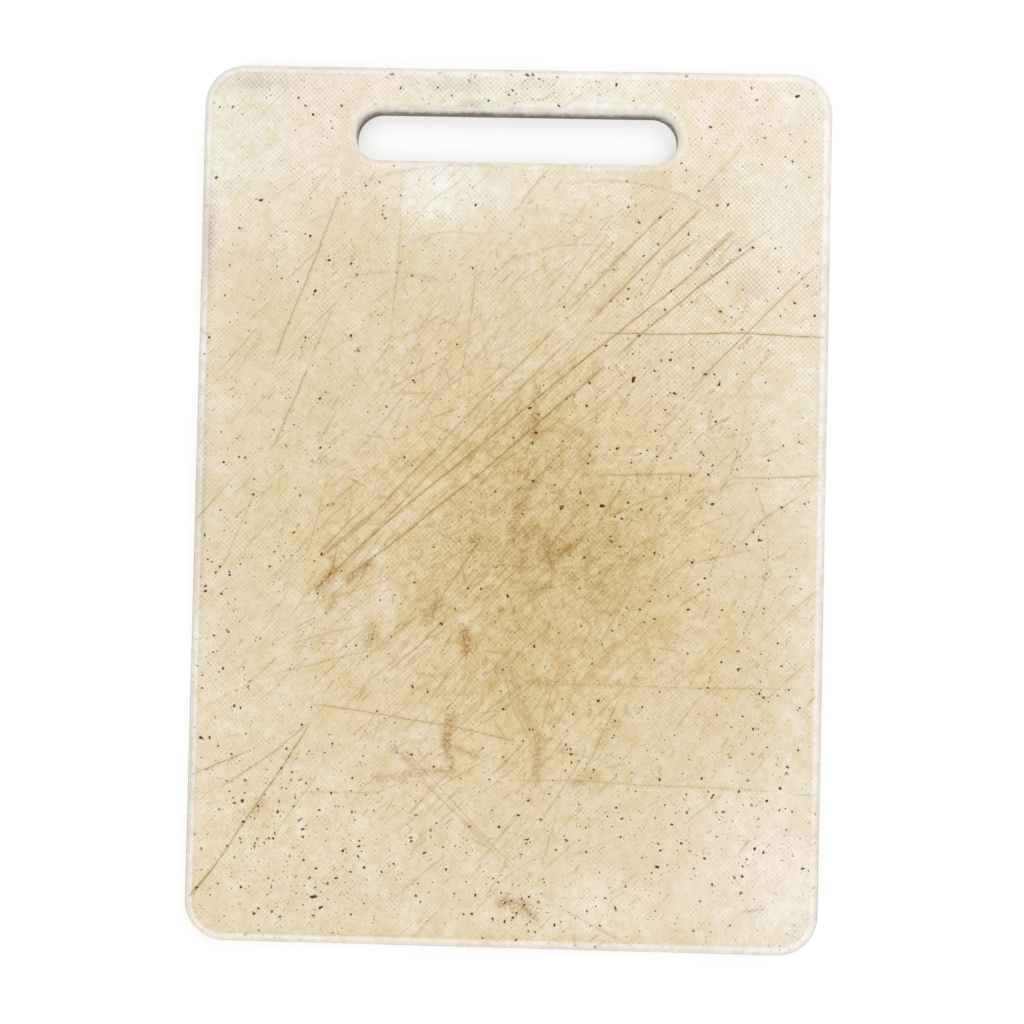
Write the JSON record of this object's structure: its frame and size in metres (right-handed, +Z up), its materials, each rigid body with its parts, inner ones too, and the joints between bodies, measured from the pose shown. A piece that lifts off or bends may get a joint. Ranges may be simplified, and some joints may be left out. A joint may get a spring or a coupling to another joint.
{
  "type": "cutting board",
  "caption": "Flat moulded plastic cutting board with rounded corners, a fine woven-grain surface on both faces and a long rounded hand slot near one short end.",
  "frame": {"origin": "under the middle of the board, on the surface it lies on", "axes": "+Z up through the thickness, +Y along the long side towards the hand slot, +X across the board"},
  "size_m": [0.244, 0.34, 0.008],
  "materials": {
    "board_plastic": "off-white moulded polyethylene, fine embossed weave, knife-scored and stained"
  },
  "bodies": {
    "root": {"board": "board_plastic"}
  },
  "joints": []
}
